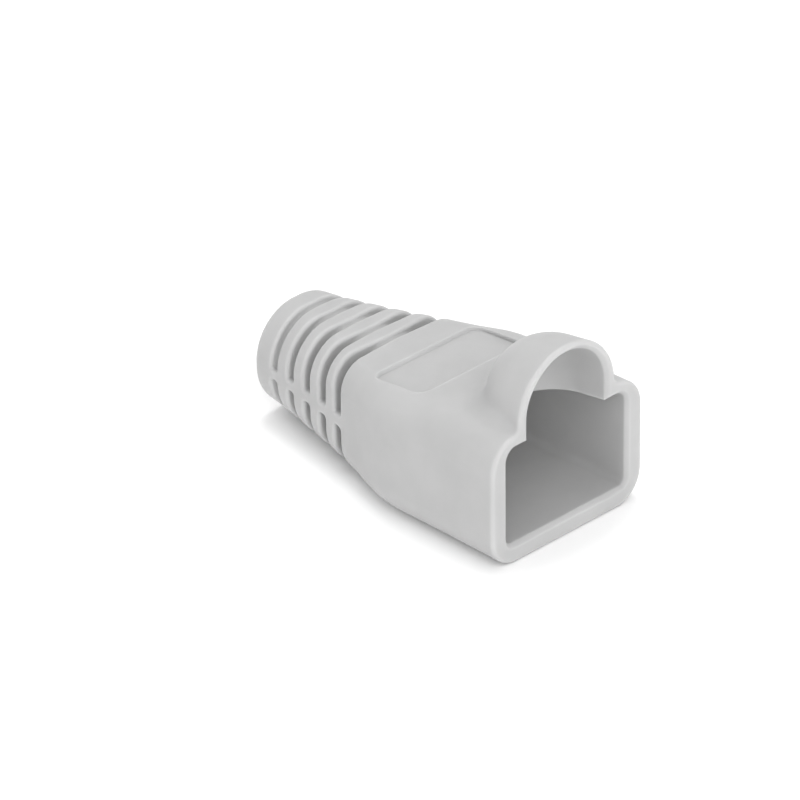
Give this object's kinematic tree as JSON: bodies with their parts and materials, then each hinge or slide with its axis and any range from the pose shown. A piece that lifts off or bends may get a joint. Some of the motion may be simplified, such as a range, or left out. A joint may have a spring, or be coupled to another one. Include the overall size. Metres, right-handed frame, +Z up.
{
  "type": "rj45 strain relief boot",
  "caption": "One-piece soft moulded boot for a modular plug: box-shaped plug shell with an arched latch guard, tapering to a grooved flexible cable sleeve.",
  "frame": {"origin": "centre of the bounding box on the flat underside: midway across, midway along, at the resting face", "axes": "+X across the boot; +Y along the cable, from the plug opening to the tail; +Z up, out of the latch guard"},
  "size_m": [0.0154, 0.0284, 0.0158],
  "materials": {
    "boot_plastic": "matte"
  },
  "bodies": {
    "root": {"strain_relief_boot": "boot_plastic"}
  },
  "joints": []
}
